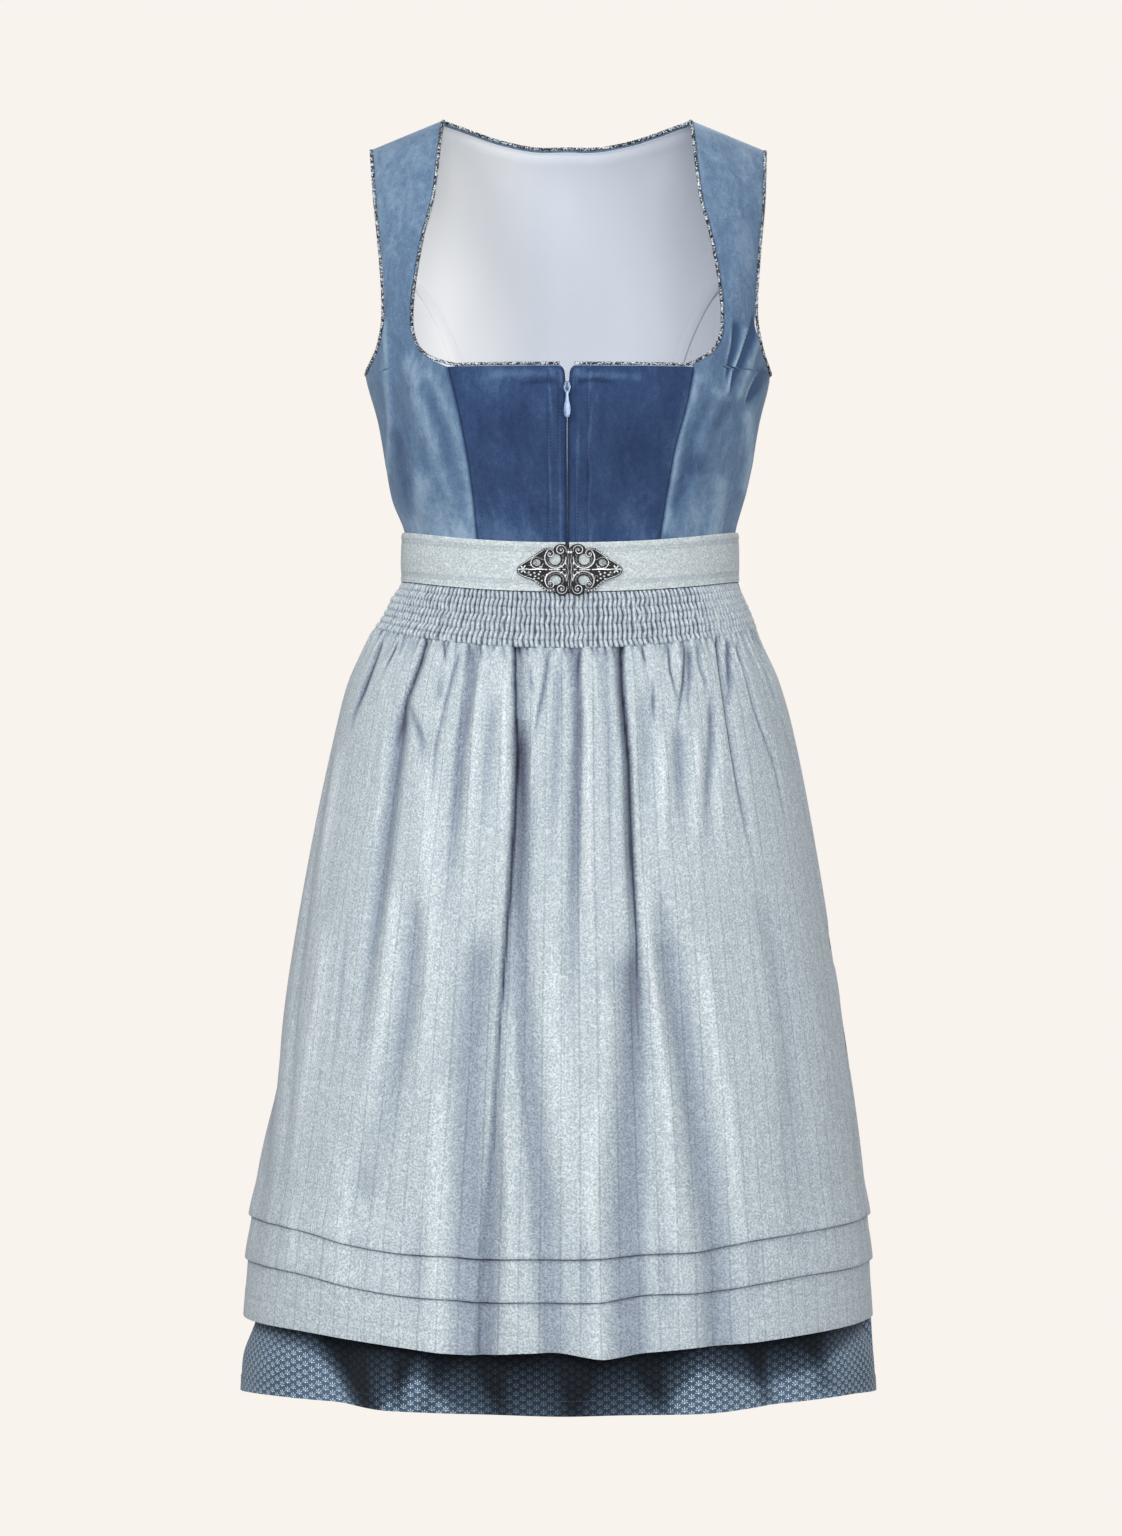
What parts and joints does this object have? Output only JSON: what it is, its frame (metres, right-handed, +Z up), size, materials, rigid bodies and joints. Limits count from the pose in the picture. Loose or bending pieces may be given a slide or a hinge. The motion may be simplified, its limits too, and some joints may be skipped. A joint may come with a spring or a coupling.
{
  "type": "dirndl",
  "caption": "Sleeveless velvet dirndl with a squared neckline, a zip front, a gathered printed skirt and a satin apron closed by a filigree clasp.",
  "frame": {"origin": "under the shoulder seams, midway between the two straps, where the wearer's shoulders hold the dress up", "axes": "+Z up, -Y out of the front, +X to the viewer's right, which is the wearer's left"},
  "size_m": [0.5198, 0.3572, 1.0423],
  "materials": {
    "velvet": "matt pile",
    "lining": "smooth satin",
    "lining_tape": "smooth satin",
    "piping": "glitter cord",
    "zip_tape": "woven tape",
    "zip_metal": "satin enamel",
    "apron_band": "satin weave",
    "apron_satin": "satin jacquard",
    "skirt_print": "printed cotton",
    "silver": "antique silver"
  },
  "bodies": {
    "dirndl": {"bodice_front_centre_left": "velvet", "bodice_front_centre_right": "velvet", "bodice_front_side_left": "velvet", "bodice_front_side_right": "velvet", "bodice_back_centre": "velvet", "bodice_back_side_left": "velvet", "bodice_back_side_right": "velvet", "lining_back": "lining", "lining_seam_left": "lining_tape", "lining_seam_right": "lining_tape", "piping_neck_left": "piping", "piping_neck_right": "piping", "piping_neck_back": "piping", "piping_armhole_left": "piping", "piping_armhole_right": "piping", "zip_tape_left": "zip_tape", "zip_tape_right": "zip_tape", "zip_slider": "zip_metal", "apron_band": "apron_band", "apron_yoke": "apron_satin", "apron_panel": "apron_satin", "skirt_front": "skirt_print", "skirt_back": "skirt_print", "buckle_left": "silver", "buckle_right": "silver"},
    "pull_tab": {"zip_pull_tab": "zip_metal"}
  },
  "joints": [
    {"name": "pull_tab_hinge", "type": "hinge", "parent": "dirndl", "child": "pull_tab", "pos_m": [0, -0.12173, -0.2268], "axis": [-1, 0, 0], "range_deg": [0, 160]}
  ]
}
